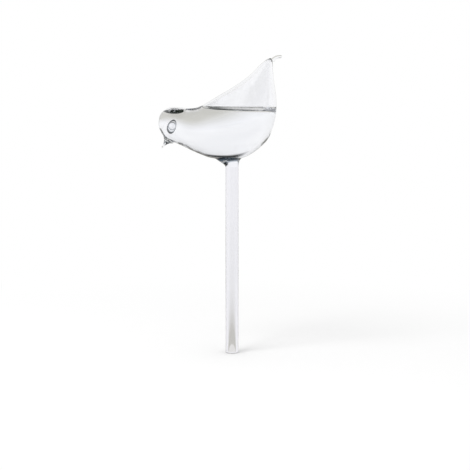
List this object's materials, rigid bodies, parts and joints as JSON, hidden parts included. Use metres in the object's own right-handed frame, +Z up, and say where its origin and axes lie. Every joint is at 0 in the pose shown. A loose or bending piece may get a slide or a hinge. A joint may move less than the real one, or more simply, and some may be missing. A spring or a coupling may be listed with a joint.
{
  "type": "watering globe",
  "caption": "Hollow bird of clear blown glass on a long straight glass tube: the tube is pushed into potting soil and lets the water held in the bird seep out at its open tip.",
  "frame": {"origin": "centre of the stem's open tip, on the stem's axis", "axes": "+Z up along the stem towards the bird, -X the way the bird looks, -Y the bird's left side"},
  "size_m": [0.111, 0.0542, 0.2706],
  "materials": {
    "clear_glass": "clear, smooth and glossy"
  },
  "bodies": {
    "root": {"body_shell": "clear_glass", "neck_collar": "clear_glass", "stem_tube": "clear_glass", "beak": "clear_glass", "left_eye": "clear_glass", "right_eye": "clear_glass", "tail_nib": "clear_glass"}
  },
  "joints": []
}
